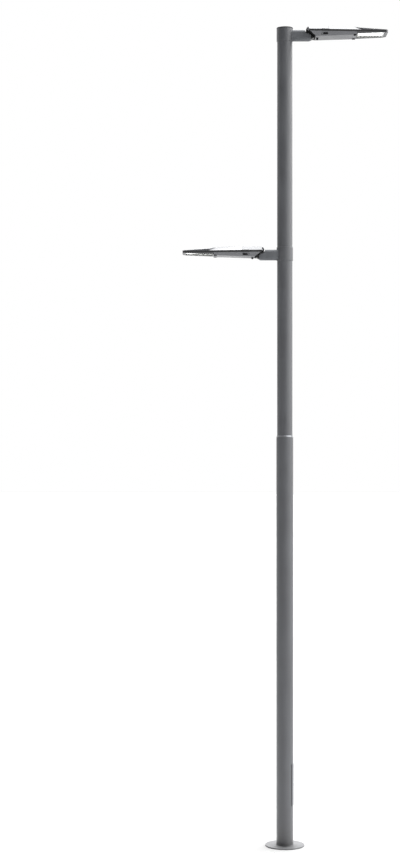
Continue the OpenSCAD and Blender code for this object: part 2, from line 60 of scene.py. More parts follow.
MM = Matrix.Scale(0.001, 4)
SHARP_EDGE = math.radians(35)
SIDES = ((-1, "right"), (1, "left"))
DOWN = (0, 0, -1)
SLEEVE_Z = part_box("top_sleeve")[0].z * 1000
COLLAR_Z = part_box("mid_collar")[0].z * 1000
FLANGE_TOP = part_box("base_flange")[1].z * 1000

# The pole: its lower tube, the sleeve and collar, and the door.
LOWER_R = 82.5
BEAD_R = 2.6
BEAD_STEPS = 260
BEAD_RIPPLES = 65
COLLAR_R = 80.2
COLLAR_H = 133
CLAMP_TURNS = (math.radians(70), math.radians(110))
CLAMP_Z = (22, 108)
CAP_T = 8
DOOR_Z = 400
DOOR_H = 400
DOOR_HALF_TURN = math.radians(40)
DOOR_FACE = 85.9

# A head's hinge and the rear face that slants down from it.
PIVOT = Vector((230, 0, 103))
BARREL_R = 25
BARREL_L = 156
BARREL_IN = 52
PIN_HEAD = 4.4
REAR_ANGLE = math.radians(36)
REAR_BACK = 16
REAR_X = 227
ARM_BOLT = (178, 49.8)
ARM_BOLT_Z = (36, 78)

# Lengths and heights of its housing, lamp frame, cover and lid.
HOUSING_X = 696
UNDER_RISE = 27.5
FRAME_X = 697.5
FRAME_Z = 55
FRAME_RISE = 11 / 302
FRONT_X = 984.5
TIP_X = 999.5
RIM_H = 19
LID_X = 423
COVER_Z = 141
RIDGE_X = 675
RIDGE_Z = 125

# Its window, glass and lamp board.
WINDOW_X = 707
WINDOW_L = 262
WINDOW_W = 222
WINDOW_R = 7
GLASS_Z = 71.2
BOARD_Z = 79.2
LENS_COUNT = (8, 6)
LENS_PITCH = (28, 31)

# Its latches, slots, driver and screws; a screw's place is X and Y in the face that it sits in.
LATCH_X = (354.25, 420.25)
LATCH_FACE = 4.6
LID_SLOPE = math.radians(31.9)
SLOT_X = 383
CLIP_X = 451.5
CLIP_Y = 89
BREATHER_X = 87
DRIVER_X = (130.3, 260.3)
TERMINAL_OUT = 5
FRAME_SCREWS = ((25, 119.0, 3.8), (132, 116.6, 3.4), (277, 60, 3.0))
UNDERSIDE_SCREWS = ((100, 88), (425, 97))
COVER_SCREW_X = (450, 640)
COVER_SCREW_Y = 62
GASKET_X = (262, 352, 414)

HEADS = {
    "top": Matrix.Translation((0, 0, SLEEVE_Z / 1000)) @ MM,
    "mid": Matrix.Translation((0, 0, COLLAR_Z / 1000)) @ Matrix.Rotation(math.pi, 4, "Z") @ MM,
}


def rim_half(x):
    """Half width of the head at its rim."""
    return 150 - 27.5 * (x - PIVOT.x) / (FRONT_X - PIVOT.x)


def rim_low(x):
    """Height of the rim's lower edge."""
    return 75.5 - 7 * (x - PIVOT.x) / (TIP_X - PIVOT.x)


def under_z(x):
    """Height of the housing's underside."""
    return 30.5 + UNDER_RISE * (x - PIVOT.x) / (TIP_X - PIVOT.x)


def under_half(x):
    """Half width of the housing's underside."""
    return 97.5 + 9 * (x - PIVOT.x) / (FRAME_X - PIVOT.x)


def cover_top(x):
    """Height of the front cover's ridge."""
    return COVER_Z + (RIDGE_Z - COVER_Z) * (x - LID_X) / (RIDGE_X - LID_X)


def rear_z(x):
    """Height of the head's slanted rear face."""
    return PIVOT.z - (REAR_BACK + (x - PIVOT.x) * math.sin(REAR_ANGLE)) / math.cos(REAR_ANGLE)


def frame_low(x):
    """Height of the lamp frame's lower face."""
    return FRAME_Z + FRAME_RISE * (x - FRAME_X)


# Planes of the housing's underside, with X from the pivot, and of the lamp frame's lower face.
UNDER_TILT = Matrix.Rotation(-math.atan(UNDER_RISE / (TIP_X - PIVOT.x)), 4, "Y")
ON_UNDERSIDE = Matrix.Translation((PIVOT.x, 0, under_z(PIVOT.x))) @ UNDER_TILT
ON_FRAME = Matrix.Translation((FRAME_X, 0, FRAME_Z)) @ Matrix.Rotation(-math.atan(FRAME_RISE), 4, "Y")
# Plane of the housing's rear face: X runs down it from its point nearest the hinge, Z out of it.
REAR_OUT = Vector((-math.sin(REAR_ANGLE), 0, -math.cos(REAR_ANGLE)))
ON_REAR = Matrix.Translation(PIVOT + REAR_OUT * REAR_BACK) @ Matrix((
    (math.cos(REAR_ANGLE), 0, -math.sin(REAR_ANGLE), 0),
    (0, 1, 0, 0),
    (-math.sin(REAR_ANGLE), 0, -math.cos(REAR_ANGLE), 0),
    (0, 0, 0, 1),
))


# ---------- shaping ----------


def circle(r, z, count=24, sides=0):
    """Loop of points at height z; with sides it is a polygon drawn with the same count."""
    loop = []
    for i in range(count):
        turn = 2 * math.pi * i / count
        reach = r
        if sides:
            part = math.pi / sides
            reach = r * math.cos(part) / math.cos(turn % (2 * part) - part)
        loop.append(Vector((reach * math.cos(turn), reach * math.sin(turn), z)))
    return loop


def rounded(w, h, r, z, steps=6):
    """Loop of a rectangle with round corners, centred on the origin at height z."""
    loop = []
    for corner, (sx, sy) in enumerate(((1, 1), (-1, 1), (-1, -1), (1, -1))):
        for i in range(steps + 1):
            turn = math.pi / 2 * (corner + i / steps)
            x = sx * (w / 2 - r) + r * math.cos(turn)
            y = sy * (h / 2 - r) + r * math.sin(turn)
            loop.append(Vector((x, y, z)))
    return loop


def skin(loops, ring=False):
    """Skins a row of equal loops: closed on itself as a ring, or else capped at both ends."""
    count = len(loops[0])
    points = [p for loop in loops for p in loop]
    faces = []
    for i in range(len(loops) if ring else len(loops) - 1):
        a = i * count
        b = (i + 1) % len(loops) * count
        for k in range(count):
            n = (k + 1) % count
            faces.append((a + k, a + n, b + n, b + k))
    if not ring:
        faces.append(tuple(reversed(range(count))))
        faces.append(tuple(range(len(points) - count, len(points))))
    return points, faces


def gather(shapes):
    """Puts several shapes together; each is a (place, (points, faces)) pair."""
    points = []
    faces = []
    for place, (own_points, own_faces) in shapes:
        first = len(points)
        points += [place @ p for p in own_points]
        faces += [tuple(first + i for i in face) for face in own_faces]
    return points, faces


def aim(spot, way):
    """Place of a fitting that stands on a spot and points a way."""
    turn = Vector(way).normalized().to_track_quat("Z", "Y").to_matrix().to_4x4()
    return Matrix.Translation(Vector(spot)) @ turn


def pairs(spots, way, shape):
    """The same fitting at each spot and, turned over, at the spot's mirror place."""
    return [
        (aim((x, side * y, z), (way[0], side * way[1], way[2])), shape)
        for x, y, z in spots
        for side in (-1, 1)
    ]


def piece(name, body, finish, shape, place=MM):
    """Makes a named piece from points and faces, in its finish, riding on a body."""
    points, faces = shape
    mesh = bpy.data.meshes.new(name)
    mesh.from_pydata([place @ Vector(p) for p in points], [], faces)
    work = bmesh.new()
    work.from_mesh(mesh)
    bmesh.ops.recalc_face_normals(work, faces=work.faces)
    work.to_mesh(mesh)
    work.free()
    mesh.materials.append(finish)
    mesh.shade_smooth()
    mesh.set_sharp_from_angle(angle=SHARP_EDGE)
    made = bpy.data.objects.new(name, mesh)
    bpy.context.scene.collection.objects.link(made)
    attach(made, body)
    return made


def plate(outline, low, high):
    """Flat plate with an outline of X and Y pairs, between two heights."""
    return skin([[Vector((x, y, z)) for x, y in outline] for z in (low, high)])


def rim_plate(outline, side, back, proud):
    """Plate along the upright rim: X and Z pairs, from back behind the rim's face to proud of it."""
    return skin([[Vector((x, side * (rim_half(x) + g), z)) for x, z in outline] for g in (back, proud)])


def on_side(x, side, share):
    """Place on the housing's slanted side: X along it, Y down it, Z out of it."""
    top = Vector((x, side * rim_half(x), rim_low(x)))
    foot = Vector((x, side * under_half(x), under_z(x)))
    down = (foot - top).normalized()
    out = Vector((0, -side * down.z, side * down.y))
    along = Vector((1, 0, 0))
    turn = Matrix((along, down, out)).transposed().to_4x4()
    return Matrix.Translation(top.lerp(foot, share)) @ turn


def collar(profile, count):
    """Turned ring from radius and height pairs."""
    return skin([circle(r, z, count) for r, z in profile], ring=True)


def socket_screw(r, h):
    """Head of a socket screw, with its hexagon socket sunk in."""
    return skin([
        circle(r, 0),
        circle(r, h * 0.7),
        circle(r * 0.9, h),
        circle(r * 0.58, h, sides=6),
        circle(r * 0.55, h * 0.3, sides=6),
    ])


def dome(r, h):
    """Low dome, such as a rivet's head or a lens."""
    return skin([
        circle(r, 0, 20),
        circle(r * 0.96, h * 0.35, 20),
        circle(r * 0.8, h * 0.7, 20),
        circle(r * 0.5, h * 0.93, 20),
        circle(r * 0.15, h, 20),
    ])


# ---------- finishes ----------


def srgb(code):
    """Linear colour from an sRGB hex value."""
    parts = [int(code[i:i + 2], 16) / 255 for i in (1, 3, 5)]
    return tuple(c / 12.92 if c <= 0.04045 else ((c + 0.055) / 1.055) ** 2.4 for c in parts) + (1,)


def add(tree, kind, settings=None, **sockets):
    """Adds a node with its settings; a socket takes a value or a link from another node."""
    node = tree.nodes.new(kind)
    for key, value in (settings or {}).items():
        setattr(node, key, value)
    for key, value in sockets.items():
        socket = node.inputs[int(key[1:])] if key[1:].isdigit() else node.inputs[key.replace("_", " ")]
        if isinstance(value, bpy.types.NodeSocket):
            tree.links.new(value, socket)
        else:
            socket.default_value = value
    return node


def start(name, colour, roughness, metallic=0.0):
    """New material with its surface shader set to plain values."""
    finish = bpy.data.materials.new(name)
    finish.use_nodes = True
    tree = finish.node_tree
    surface = tree.nodes["Principled BSDF"]
    surface.inputs["Base Color"].default_value = srgb(colour)
    surface.inputs["Roughness"].default_value = roughness
    surface.inputs["Metallic"].default_value = metallic
    finish.diffuse_color = srgb(colour)
    where = add(tree, "ShaderNodeTexCoord").outputs["Object"]
    return finish, tree, surface, where


def per_metre(size_mm):
    """Pattern scale that gives features of a real size."""
    return 1000 / size_mm


def powder_coat(name, colour, dusty, peel_mm, peel_height, foot_dirt, gloss=(0.36, 0.5)):
    """Stoved polyester powder coat: satin, faintly pebbled, dustier in soft upright streaks."""
    finish, tree, surface, where = start(name, colour, 0.45)
    # Real orange peel is 2 to 4 mm across; it is drawn at the size given so that it shows.
    peel = add(tree, "ShaderNodeTexNoise", Vector=where, Scale=per_metre(peel_mm), Detail=2.0)
    # Streaks about 70 mm wide and 0.9 m long.
    streak_run = add(tree, "ShaderNodeMapping", Vector=where, Scale=(14, 14, 1.1))
    streaks = add(tree, "ShaderNodeTexNoise", Vector=streak_run.outputs[0], Scale=1.0, Detail=4.0)
    cloud = add(tree, "ShaderNodeTexNoise", Vector=where, Scale=per_metre(240), Detail=3.0)
    patch = add(
        tree, "ShaderNodeMath", {"operation": "MULTIPLY"},
        _0=streaks.outputs[0], _1=cloud.outputs[0],
    )
    dust = add(tree, "ShaderNodeMapRange", Value=patch.outputs[0], From_Min=0.16, From_Max=0.4, To_Max=0.5)
    coat = add(
        tree, "ShaderNodeMix", {"data_type": "RGBA"},
        _0=dust.outputs[0], _6=srgb(colour), _7=srgb(dusty),
    )
    colour_out = coat.outputs[2]
    if foot_dirt:
        # Brown spatter from the ground, which fades out 0.28 m up.
        up = add(tree, "ShaderNodeSeparateXYZ", Vector=where)
        spatter = add(tree, "ShaderNodeTexNoise", Vector=where, Scale=per_metre(35), Detail=5.0)
        low = add(
            tree, "ShaderNodeMapRange", Value=up.outputs[2],
            From_Min=0.0, From_Max=0.28, To_Min=0.75, To_Max=0.0,
        )
        dirt = add(
            tree, "ShaderNodeMath", {"operation": "MULTIPLY"},
            _0=low.outputs[0], _1=spatter.outputs[0],
        )
        foot = add(
            tree, "ShaderNodeMix", {"data_type": "RGBA"},
            _0=dirt.outputs[0], _6=colour_out, _7=srgb("#2E2C29"),
        )
        colour_out = foot.outputs[2]
    tree.links.new(colour_out, surface.inputs["Base Color"])
    sheen = add(
        tree, "ShaderNodeMapRange", Value=cloud.outputs[0],
        From_Min=0.3, From_Max=0.7, To_Min=gloss[0], To_Max=gloss[1],
    )
    tree.links.new(sheen.outputs[0], surface.inputs["Roughness"])
    bump = add(tree, "ShaderNodeBump", Strength=0.5, Distance=peel_height / 1000, Height=peel.outputs[0])
    tree.links.new(bump.outputs[0], surface.inputs["Normal"])
    return finish


def brushed(name, colour, roughness, line_mm, along):
    """Bare metal with fine lines from its belt or lathe: a soft sheen drawn out across the lines."""
    finish, tree, surface, where = start(name, colour, roughness, 1.0)
    # Real lines are finer than 0.1 mm; they are drawn at the width given so that they show.
    stretch = [per_metre(line_mm)] * 3
    stretch[along] = per_metre(line_mm * 40)
    run = add(tree, "ShaderNodeMapping", Vector=where, Scale=tuple(stretch))
    lines = add(tree, "ShaderNodeTexNoise", Vector=run.outputs[0], Scale=1.0, Detail=2.0)
    sheen = add(
        tree, "ShaderNodeMapRange", Value=lines.outputs[0],
        From_Min=0.3, From_Max=0.7, To_Min=roughness * 0.7, To_Max=roughness * 1.4,
    )
    tree.links.new(sheen.outputs[0], surface.inputs["Roughness"])
    bump = add(tree, "ShaderNodeBump", Strength=0.25, Distance=0.00005, Height=lines.outputs[0])
    tree.links.new(bump.outputs[0], surface.inputs["Normal"])
    return finish


def grained(name, colour, roughness, grain_mm, height_mm, specks, shine=0.5):
    """Moulded, cast or rubber surface with an even grain and a slight drift in its colour."""
    finish, tree, surface, where = start(name, colour, roughness)
    surface.inputs["Specular IOR Level"].default_value = shine
    # Real grain is a few tenths of a millimetre; it is drawn at the size given so that it shows.
    grain = add(tree, "ShaderNodeTexNoise", Vector=where, Scale=per_metre(grain_mm), Detail=3.0)
    drift = add(tree, "ShaderNodeTexNoise", Vector=where, Scale=per_metre(60), Detail=2.0)
    share = add(tree, "ShaderNodeMapRange", Value=drift.outputs[0], From_Min=0.35, From_Max=0.7, To_Max=0.6)
    mixed = add(
        tree, "ShaderNodeMix", {"data_type": "RGBA"},
        _0=share.outputs[0], _6=srgb(colour), _7=srgb(specks),
    )
    tree.links.new(mixed.outputs[2], surface.inputs["Base Color"])
    bump = add(tree, "ShaderNodeBump", Strength=0.4, Distance=height_mm / 1000, Height=grain.outputs[0])
    tree.links.new(bump.outputs[0], surface.inputs["Normal"])
    return finish


def lit(finish, colour, strength):
    """Lets a finish give light of its own."""
    surface = finish.node_tree.nodes["Principled BSDF"]
    surface.inputs["Emission Color"].default_value = srgb(colour)
    surface.inputs["Emission Strength"].default_value = strength
    return finish


def clear(name, colour, roughness, ior):
    """Clear sheet or moulding: see-through, with a faint waviness that breaks its reflections."""
    finish, tree, surface, where = start(name, colour, roughness)
    surface.inputs["Transmission Weight"].default_value = 1.0
    surface.inputs["IOR"].default_value = ior
    wave = add(tree, "ShaderNodeTexNoise", Vector=where, Scale=per_metre(90), Detail=1.0)
    bump = add(tree, "ShaderNodeBump", Strength=0.1, Distance=0.0002, Height=wave.outputs[0])
    tree.links.new(bump.outputs[0], surface.inputs["Normal"])
    return finish


# Tubes and collars: a dark satin grey, with one long soft highlight up the pole.
TUBE_COAT = powder_coat("powder_coated_steel_tube", "#3A3B3E", "#47494C", 9, 0.10, True)
# Base plate: the tube's coat painted a shade paler, as painted light from above on its top; scuffed matt,
# so it only glows softly under that light.
FLANGE_COAT = powder_coat("base_plate_coat_painted_paler", "#48494C", "#535558", 9, 0.10, True, (0.6, 0.75))
# Housing, cover and lid: the same grey, with the tighter pebble of a coat on a casting.
CASTING_COAT = powder_coat("powder_coated_cast_aluminium", "#3F4043", "#4B4C50", 6, 0.14, False)
# Lamp frame: the same coat in a darker grey.
FRAME_COAT = powder_coat("powder_coated_die_cast_frame", "#2B2C2E", "#353639", 6, 0.14, False)
# Knuckle: thick enamel over rough iron, nearly black with a dull gleam; its black also paints the shade in
# the gap between the arm and the head.
BLACK_CASTING = grained("stoved_black_cast_iron_and_gap_shade", "#0B0C0D", 0.45, 4, 0.15, "#151618")
# Door hinges, lock and hinge pins: pale metal with its highlights drawn out along the lines.
BRUSHED_STAINLESS = brushed("brushed_stainless_steel", "#A9ABAE", 0.3, 0.8, 2)
# Joint ring: acid has taken off the bright face, so it is greyer and its glints are narrow.
PICKLED_STAINLESS = brushed("pickled_stainless_steel", "#828487", 0.26, 0.8, 2)
# Screws and rivets: small cool grey glints.
ZINC_SCREW = brushed("zinc_plated_screw_steel", "#8E9093", 0.34, 0.8, 0)
# Arms: a coarse textured coat that gives no highlight at all.
TEXTURED_COAT = powder_coat("textured_coat_on_cast_arm", "#494B4E", "#55575A", 4, 0.22, False, (0.9, 1.0))
# Cap, finger slots and breather: dead matt, nearly black; in the finger slots this black paints the shade
# seen through the latches' slots.
MATT_PLASTIC = grained("moulded_polyamide_and_slot_shade", "#0E0F10", 0.95, 3, 0.08, "#131415", 0.05)
# Seals and gaskets: black, with the faint bloom of rubber; the strips on the rims, over the latches and
# round the door also paint shade.
RUBBER = grained("epdm_rubber_and_painted_shade", "#0F1011", 0.78, 2.5, 0.06, "#161718")
# Foam seals, shells and clips: the deepest black, with no highlight; they paint the shade on the head's
# rear face, under the hinge's barrels and at the window's rear corners.
FOAM = grained("black_foam_painted_shade", "#070708", 1.0, 2, 0.15, "#0B0B0C", 0.1)
# Trim round the glass: clean white, with a soft gleam; its white paints the window's light over the shade
# on the opening's walls.
SILICONE = grained("white_trim_painted_window_light", "#DADBD8", 0.55, 3, 0.04, "#D2D3D0", 0.3)
# The driver's terminal ends: black, with a small sharp highlight.
NYLON = grained("moulded_black_nylon", "#0C0C0D", 0.5, 1.5, 0.04, "#151617")
# Window: all but unseen, apart from a clean hard reflection.
TOUGHENED_GLASS = clear("toughened_glass", "#F6FAFC", 0.02, 1.52)
# Lenses: warm white and lit, a little brighter than the board behind them.
LENS_ACRYLIC = lit(grained("moulded_lens_acrylic", "#F4F5F2", 0.12, 8, 0.02, "#FFFFFF"), "#FFFBF0", 1.6)
# Lamp board: glossy white, evenly lit.
BOARD_MASK = lit(grained("white_solder_mask_board", "#F3F3EE", 0.35, 3, 0.03, "#E6E7E2"), "#FFFBF2", 1.1)
# Driver: a plain grey moulded case.
DRIVER_CASE = grained("moulded_polycarbonate_case", "#8B8C89", 0.45, 1.5, 0.05, "#848582")

NODE_FINISH = {
    "top_cap": MATT_PLASTIC,
    "base_flange": FLANGE_COAT,
    "joint_ring": PICKLED_STAINLESS,
    "door_hinges": BRUSHED_STAINLESS,
    "door_lock": BRUSHED_STAINLESS,
    "arm": TEXTURED_COAT,
    "knuckle": BLACK_CASTING,
    "hinge_pin": BRUSHED_STAINLESS,
    "housing": CASTING_COAT,
    "lamp_frame": FRAME_COAT,
    "glass": TOUGHENED_GLASS,
    "lamp_board": BOARD_MASK,
    "front_cover": CASTING_COAT,
    "driver": DRIVER_CASE,
    "gear_lid": CASTING_COAT,
    "left_latch": CASTING_COAT,
    "right_latch": CASTING_COAT,
}

# Radius of the small round edges that each casting and moulding is given.
SOFT_EDGES = {
    "arm": 3.0,
    "knuckle": 1.2,
    "housing": 1.5,
    "lamp_frame": 1.2,
    "front_cover": 1.5,
    "gear_lid": 1.5,
    "left_latch": 0.8,
    "right_latch": 0.8,
    "driver": 2.5,
}

for name, node in frame["nodes"].items():
    part = name.split("_", 1)[1] if name.split("_")[0] in HEADS else name
    node.data.materials.clear()
    node.data.materials.append(NODE_FINISH.get(name, NODE_FINISH.get(part, TUBE_COAT)))
    if part in SOFT_EDGES:
        # Corners closer than 0.02 mm are joined first, so the round edges run on without gaps.
        weld = node.modifiers.new("meet", "WELD")
        weld.merge_threshold = 0.00002
        edge = node.modifiers.new("cast_edges", "BEVEL")
        edge.width = SOFT_EDGES[part] / 1000
        edge.segments = 2
        edge.limit_method = "ANGLE"
        edge.angle_limit = math.radians(25)
        edge.harden_normals = False


# ---------- pole ----------

# Bead that the welder laid round the foot: overlapping ripples over the fillet.
bead = []
for i in range(BEAD_STEPS):
    turn = 2 * math.pi * i / BEAD_STEPS
    swell = BEAD_R + 0.35 * math.sin(turn * BEAD_RIPPLES)
    loop = []
    for k in range(8):
        around = 2 * math.pi * k / 8
        r = LOWER_R + BEAD_R + swell * math.cos(around)
        z = FLANGE_TOP + 2.4 + swell * math.sin(around)
        loop.append(Vector((r * math.cos(turn), r * math.sin(turn), z)))
    bead.append(loop)
piece("foot_weld_bead", "pole", TUBE_COAT, skin(bead, ring=True))


def round_the_pole(shape, r):
    """Wraps a flat shape, drawn with X round the pole, Y up it and Z out of it, on to the tube."""
    points, faces = shape
    wrapped = []
    for p in points:
        turn = p.x / r
        wrapped.append(Vector(((r + p.z) * math.cos(turn), (r + p.z) * math.sin(turn), p.y)))
    return wrapped, faces


# Seal round the door, drawn wide and black: it paints the shadow line of the door's gap along the panel's
# free edges.
door_mid = DOOR_Z + DOOR_H / 2
seal_w = 2 * DOOR_HALF_TURN * LOWER_R - 5
seal = []
for out, z in ((-4, -0.1), (4.5, -0.1), (4.5, 1.6), (3.5, 2.2), (1.2, 2.2), (0.6, 0.3), (-4, 0.3)):
    loop = rounded(seal_w + 2 * out, DOOR_H + 2 * out, 8 + out, z, 10)
    seal.append([p + Vector((-2.5, door_mid, 0)) for p in loop])
piece("door_seal_gap_shadow", "pole", RUBBER, round_the_pole(skin(seal, ring=True), LOWER_R))

# Gasket under the cap, set back from its rim.
cap_foot = SLEEVE_Z + COLLAR_H - CAP_T
gasket = [(76, cap_foot - 0.5), (80.3, cap_foot - 0.5), (80.3, cap_foot + 1.6), (76, cap_foot + 1.6)]
piece("cap_gasket", "pole", RUBBER, collar(gasket, 72))

# Set screws that clamp the sleeve and the collar to the tube, from behind.
clamp_screws = []
for base in (SLEEVE_Z, COLLAR_Z):
    for turn in CLAMP_TURNS:
        way = Vector((math.cos(turn), math.sin(turn), 0))
        for z in CLAMP_Z:
            spot = way * (COLLAR_R - 0.6) + Vector((0, 0, base + z))
            clamp_screws.append((aim(spot, way), socket_screw(5.5, 2.4)))
piece("collar_set_screws", "pole", TUBE_COAT, gather(clamp_screws))

# Ring round the door's lock.
lock_ring = collar(((11.4, -0.6), (14.5, -0.6), (14.5, 0.5), (13.6, 1.1), (11.4, 1.1)), 40)
lock_place = MM @ aim((DOOR_FACE, 0, door_mid), (1, 0, 0))
piece("lock_ring", "door", BRUSHED_STAINLESS, lock_ring, lock_place)

# ---------- heads ----------

# Outline of the black band that paints the rim's shade, with its rear end cut along the head's rear face.
band_low = [(x, rim_low(x) + 0.6) for x in (REAR_X + 15, HOUSING_X, FRONT_X - 1)]
band_high = [(x, rim_low(x) + RIM_H - 0.4) for x in (FRONT_X - 1, HOUSING_X, REAR_X + 0.4)]
band_outline = band_low + band_high + [(REAR_X + 0.4, rear_z(REAR_X) + 2)]

# Outline of the black seal that paints the shade on the head's rear face, cut out round the knuckle and the
# lid's lugs.
half_seal = [(9.5, BARREL_IN + 3), (9.5, 147.6), (25.5, 146.8), (93, 98)]
mirrored_seal = [(x, -y) for x, y in reversed(half_seal)]
seal_outline = half_seal + mirrored_seal + [(28.5, -BARREL_IN - 3), (28.5, BARREL_IN + 3)]

# Cut through the black shell, which paints the shade round a barrel: radius and distance from the middle of
# the hinge.
shell_cut = (
    (BARREL_R - 0.3, BARREL_IN + 0.3),
    (BARREL_R + 1.2, BARREL_IN + 0.3),
    (BARREL_R + 1.2, BARREL_L / 2 + 0.4),
    (BARREL_R + 0.4, BARREL_L / 2 + 1.2),
    (14, BARREL_L / 2 + 1.2),
    (14, BARREL_L / 2 - 0.3),
    (BARREL_R - 0.3, BARREL_L / 2 - 0.3),
)

# Cut through the seal under the glass: distance out from the window's edge, and height.
glass_seal_cut = (
    (4.0, GLASS_Z),
    (-1.2, GLASS_Z),
    (-1.2, GLASS_Z - 1.6),
    (-0.1, GLASS_Z - 1.6),
    (-0.1, GLASS_Z - 0.15),
    (4.0, GLASS_Z - 0.15),
)

# Cut through the gasket under the lid's edge: across and up.
gasket_cut = ((-2.2, -1.0), (2.2, -1.0), (2.2, 1.6), (-2.2, 1.6))

# Loops that stack up into the small fittings: width, height and level, or radius and level.
clip_loops = ((30, 40, 4.0), (30, 40, -2.6), (27, 37, -3.6))
cup_loops = ((65, 25, -1.0), (65, 25, 0.8), (63.5, 23.5, 1.3), (60, 20, 1.3), (59, 19, 0.4))
terminal_loops = ((14, 58, 3.6), (14, 58, 24), (11, 55, 26))
breather_loops = ((12, -0.4), (12, 2.4), (11, 3.2), (9.2, 3.6), (9.2, 14), (8.2, 15.6), (5, 16.4))

for head, place in HEADS.items():
    lamp = head + "_head"
    lid = head + "_lid"

    # Black rubber band that paints the shade on the upright rim, carried on across the latch.
    for side, word in SIDES:
        band = rim_plate(band_outline, side, -0.6, 0.35)
        piece(f"{head}_{word}_rim_shade_band", lamp, RUBBER, band, place)
        ends = (LATCH_X[0] - 0.3, LATCH_X[1] + 0.3)
        latch_outline = [(x, rim_low(x) + 0.4) for x in ends]
        latch_outline += [(x, rim_low(x) + RIM_H - 0.4) for x in reversed(ends)]
        latch_band = rim_plate(latch_outline, side, 1.2, LATCH_FACE + 0.4)
        piece(f"{head}_{word}_latch_band", lid, RUBBER, latch_band, place)

    # Black seal on the rear face, and black half shells under the hinge's barrels, that paint the shade
    # there.
    # The seal wraps round the corner on to the underside.
    wrap = [(44, 74), (64, 74), (64, -74), (44, -74)]
    seals = [(ON_REAR, plate(seal_outline, -0.3, 1.6)), (ON_UNDERSIDE, plate(wrap, -1.6, 0.3))]
    piece(head + "_rear_face_shade_seal", lamp, FOAM, gather(seals), place)
    shells = []
    for side in (-1, 1):
        arc = []
        for i in range(25):
            turn = math.radians(178 + 184 * i / 24)
            arc.append([Vector((r * math.cos(turn), side * y, r * math.sin(turn))) for r, y in shell_cut])
        shells.append((Matrix.Translation(PIVOT), skin(arc)))
    piece(head + "_barrel_shade_shells", lamp, FOAM, gather(shells), place)

    # Seal between the glass and the frame: its lip shows just inside the window.
    window = place @ Matrix.Translation((WINDOW_X + WINDOW_L / 2, 0, 0))
    glass_seal = [
        rounded(WINDOW_L + 2 * out, WINDOW_W + 2 * out, WINDOW_R + out, z)
        for out, z in glass_seal_cut
    ]
    piece(head + "_glass_seal", lamp, RUBBER, skin(glass_seal, ring=True), window)

    # White trim that lines the upper part of the opening, round the glass: its white paints the window's
    # light over the shade on the opening's walls.
    trim = []
    for out, low in ((-0.1, False), (-1.4, False), (-1.4, True), (-0.1, True)):
        loop = rounded(WINDOW_L + 2 * out, WINDOW_W + 2 * out, WINDOW_R + out, GLASS_Z - 1.8)
        if low:
            for p in loop:
                p.z = 0.3 * frame_low(WINDOW_X + WINDOW_L / 2 + p.x) + 0.7 * (GLASS_Z - 1.8)
        trim.append(loop)
    piece(head + "_window_light_trim", lamp, SILICONE, skin(trim, ring=True), window)

    # Black clips behind the window's two rear corners: they paint the shade in the gap there.
    clip = skin([rounded(w, h, 2, z, 3) for w, h, z in clip_loops])
    clips = [(Matrix.Translation((CLIP_X, side * CLIP_Y, 0)), clip) for side in (-1, 1)]
    piece(head + "_window_clip_shade", lamp, FOAM, gather(clips), place @ ON_UNDERSIDE)

    # Finger slots under the latches: a dark cup with a raised lip on each slanted side; its black paints
    # the shade seen through the latch's slot.
    cup = skin([rounded(w, h, 5, z, 4) for w, h, z in cup_loops])
    slots = [(on_side(SLOT_X, side, 0.5), cup) for side in (-1, 1)]
    piece(head + "_finger_slot_shade_cups", lamp, MATT_PLASTIC, gather(slots), place)

    # Lenses under the lamp board, one for each diode.
    lenses = []
    for i in range(LENS_COUNT[0]):
        for k in range(LENS_COUNT[1]):
            x = (i - (LENS_COUNT[0] - 1) / 2) * LENS_PITCH[0]
            y = (k - (LENS_COUNT[1] - 1) / 2) * LENS_PITCH[1]
            lenses.append((aim((x, y, BOARD_Z + 0.1), DOWN), dome(10.5, 2.0)))
    piece(head + "_lenses", lamp, LENS_ACRYLIC, gather(lenses), window)

    # Screws along the lamp frame and the rear of the underside.
    screws = []
    for x, y, r in FRAME_SCREWS:
        screws += pairs([(x, y, 0.4)], DOWN, socket_screw(r, 2.2))
    piece(head + "_frame_screws", lamp, ZINC_SCREW, gather(screws), place @ ON_FRAME)
    screws = pairs([(x, y, 0.4) for x, y in UNDERSIDE_SCREWS], DOWN, socket_screw(4.0, 2.4))
    piece(head + "_underside_screws", lamp, ZINC_SCREW, gather(screws), place @ ON_UNDERSIDE)

    # Breather plug under the rear of the housing: a flange and a domed cap.
    breather = skin([circle(r, z, 28) for r, z in breather_loops])
    breather_place = place @ ON_UNDERSIDE @ aim((BREATHER_X, 0, 0), DOWN)
    piece(head + "_breather_plug", lamp, MATT_PLASTIC, breather, breather_place)

    # Screws that hold the front cover, sunk in beside its ridge.
    spots = [(x, COVER_SCREW_Y, cover_top(x) - 1.4) for x in COVER_SCREW_X]
    screws = pairs(spots, (0.06, 0, 1), socket_screw(5.0, 2.6))
    piece(head + "_cover_screws", lamp, ZINC_SCREW, gather(screws), place)

    # Rivets that hold the latches to the lid's slope.
    spots = [(x, rim_half(x) - 12.9, rim_low(x) + RIM_H + 14.3) for x in (LATCH_X[0] + 9, LATCH_X[1] - 9)]
    rivets = pairs(spots, (0, math.sin(LID_SLOPE), math.cos(LID_SLOPE)), dome(3.2, 1.4))
    piece(head + "_latch_rivets", lid, ZINC_SCREW, gather(rivets), place)

    # Sockets in the hinge pin's heads.
    caps = pairs([(PIVOT.x, BARREL_L / 2 + PIN_HEAD, PIVOT.z)], (0, 1, 0), socket_screw(9.0, 2.0))
    piece(head + "_pin_caps", "pole", ZINC_SCREW, gather(caps), place)

    # Clamp bolts in the sides of the arm, at the hinge end.
    bolts = pairs([ARM_BOLT + (z,) for z in ARM_BOLT_Z], (0, 1, 0), socket_screw(6.0, 3.0))
    piece(head + "_arm_bolts", "pole", TEXTURED_COAT, gather(bolts), place)

